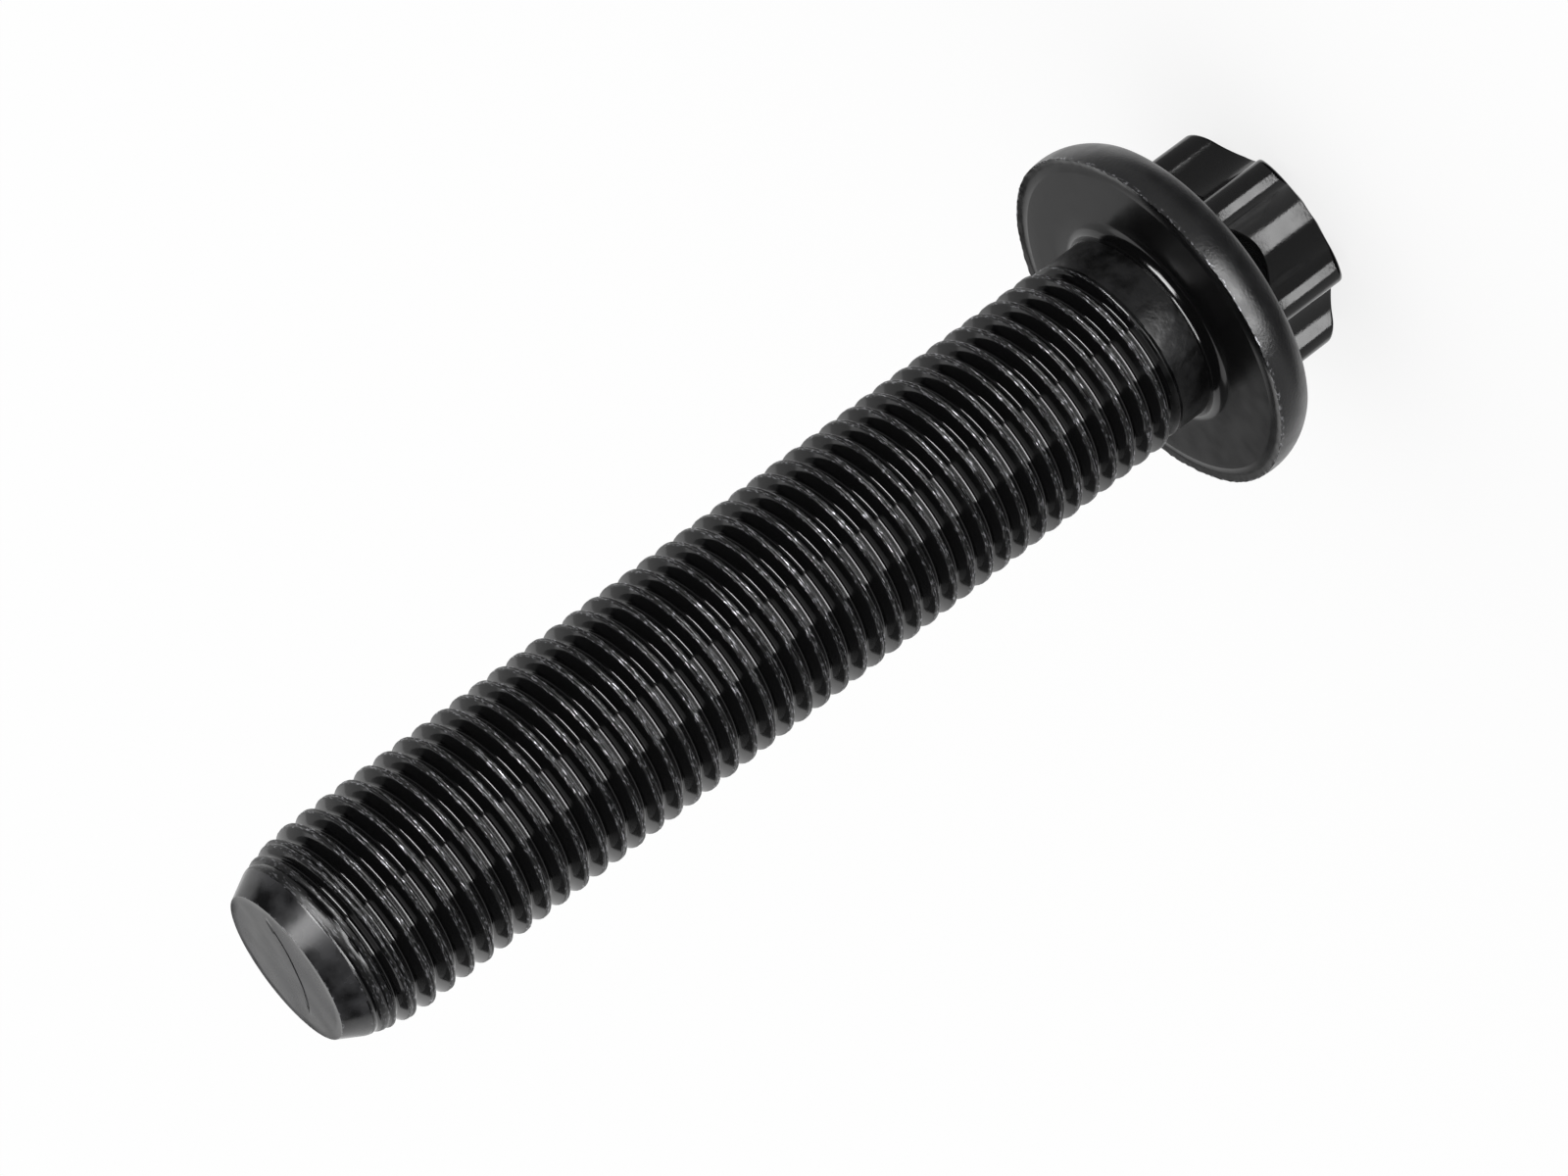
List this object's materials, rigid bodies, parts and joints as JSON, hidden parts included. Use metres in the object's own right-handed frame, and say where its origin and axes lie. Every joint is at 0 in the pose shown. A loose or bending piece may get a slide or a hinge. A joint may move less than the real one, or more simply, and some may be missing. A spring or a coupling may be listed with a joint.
{
  "type": "connecting rod bolt",
  "caption": "Flanged engine connecting rod bolt with an external lobed drive head, a short plain neck and a fine thread over nearly the whole shank.",
  "frame": {"origin": "centre of the flat head top, where the bolt stands on its head", "axes": "+Z along the bolt's axis from the head towards the tip; +X through the middle of one drive lobe"},
  "size_m": [0.0246, 0.0246, 0.0816],
  "materials": {
    "black_steel": "black phosphate with oil, forged on the head and rim, rolled smooth on the neck and thread"
  },
  "bodies": {
    "root": {"connecting_rod_bolt": "black_steel"}
  },
  "joints": []
}
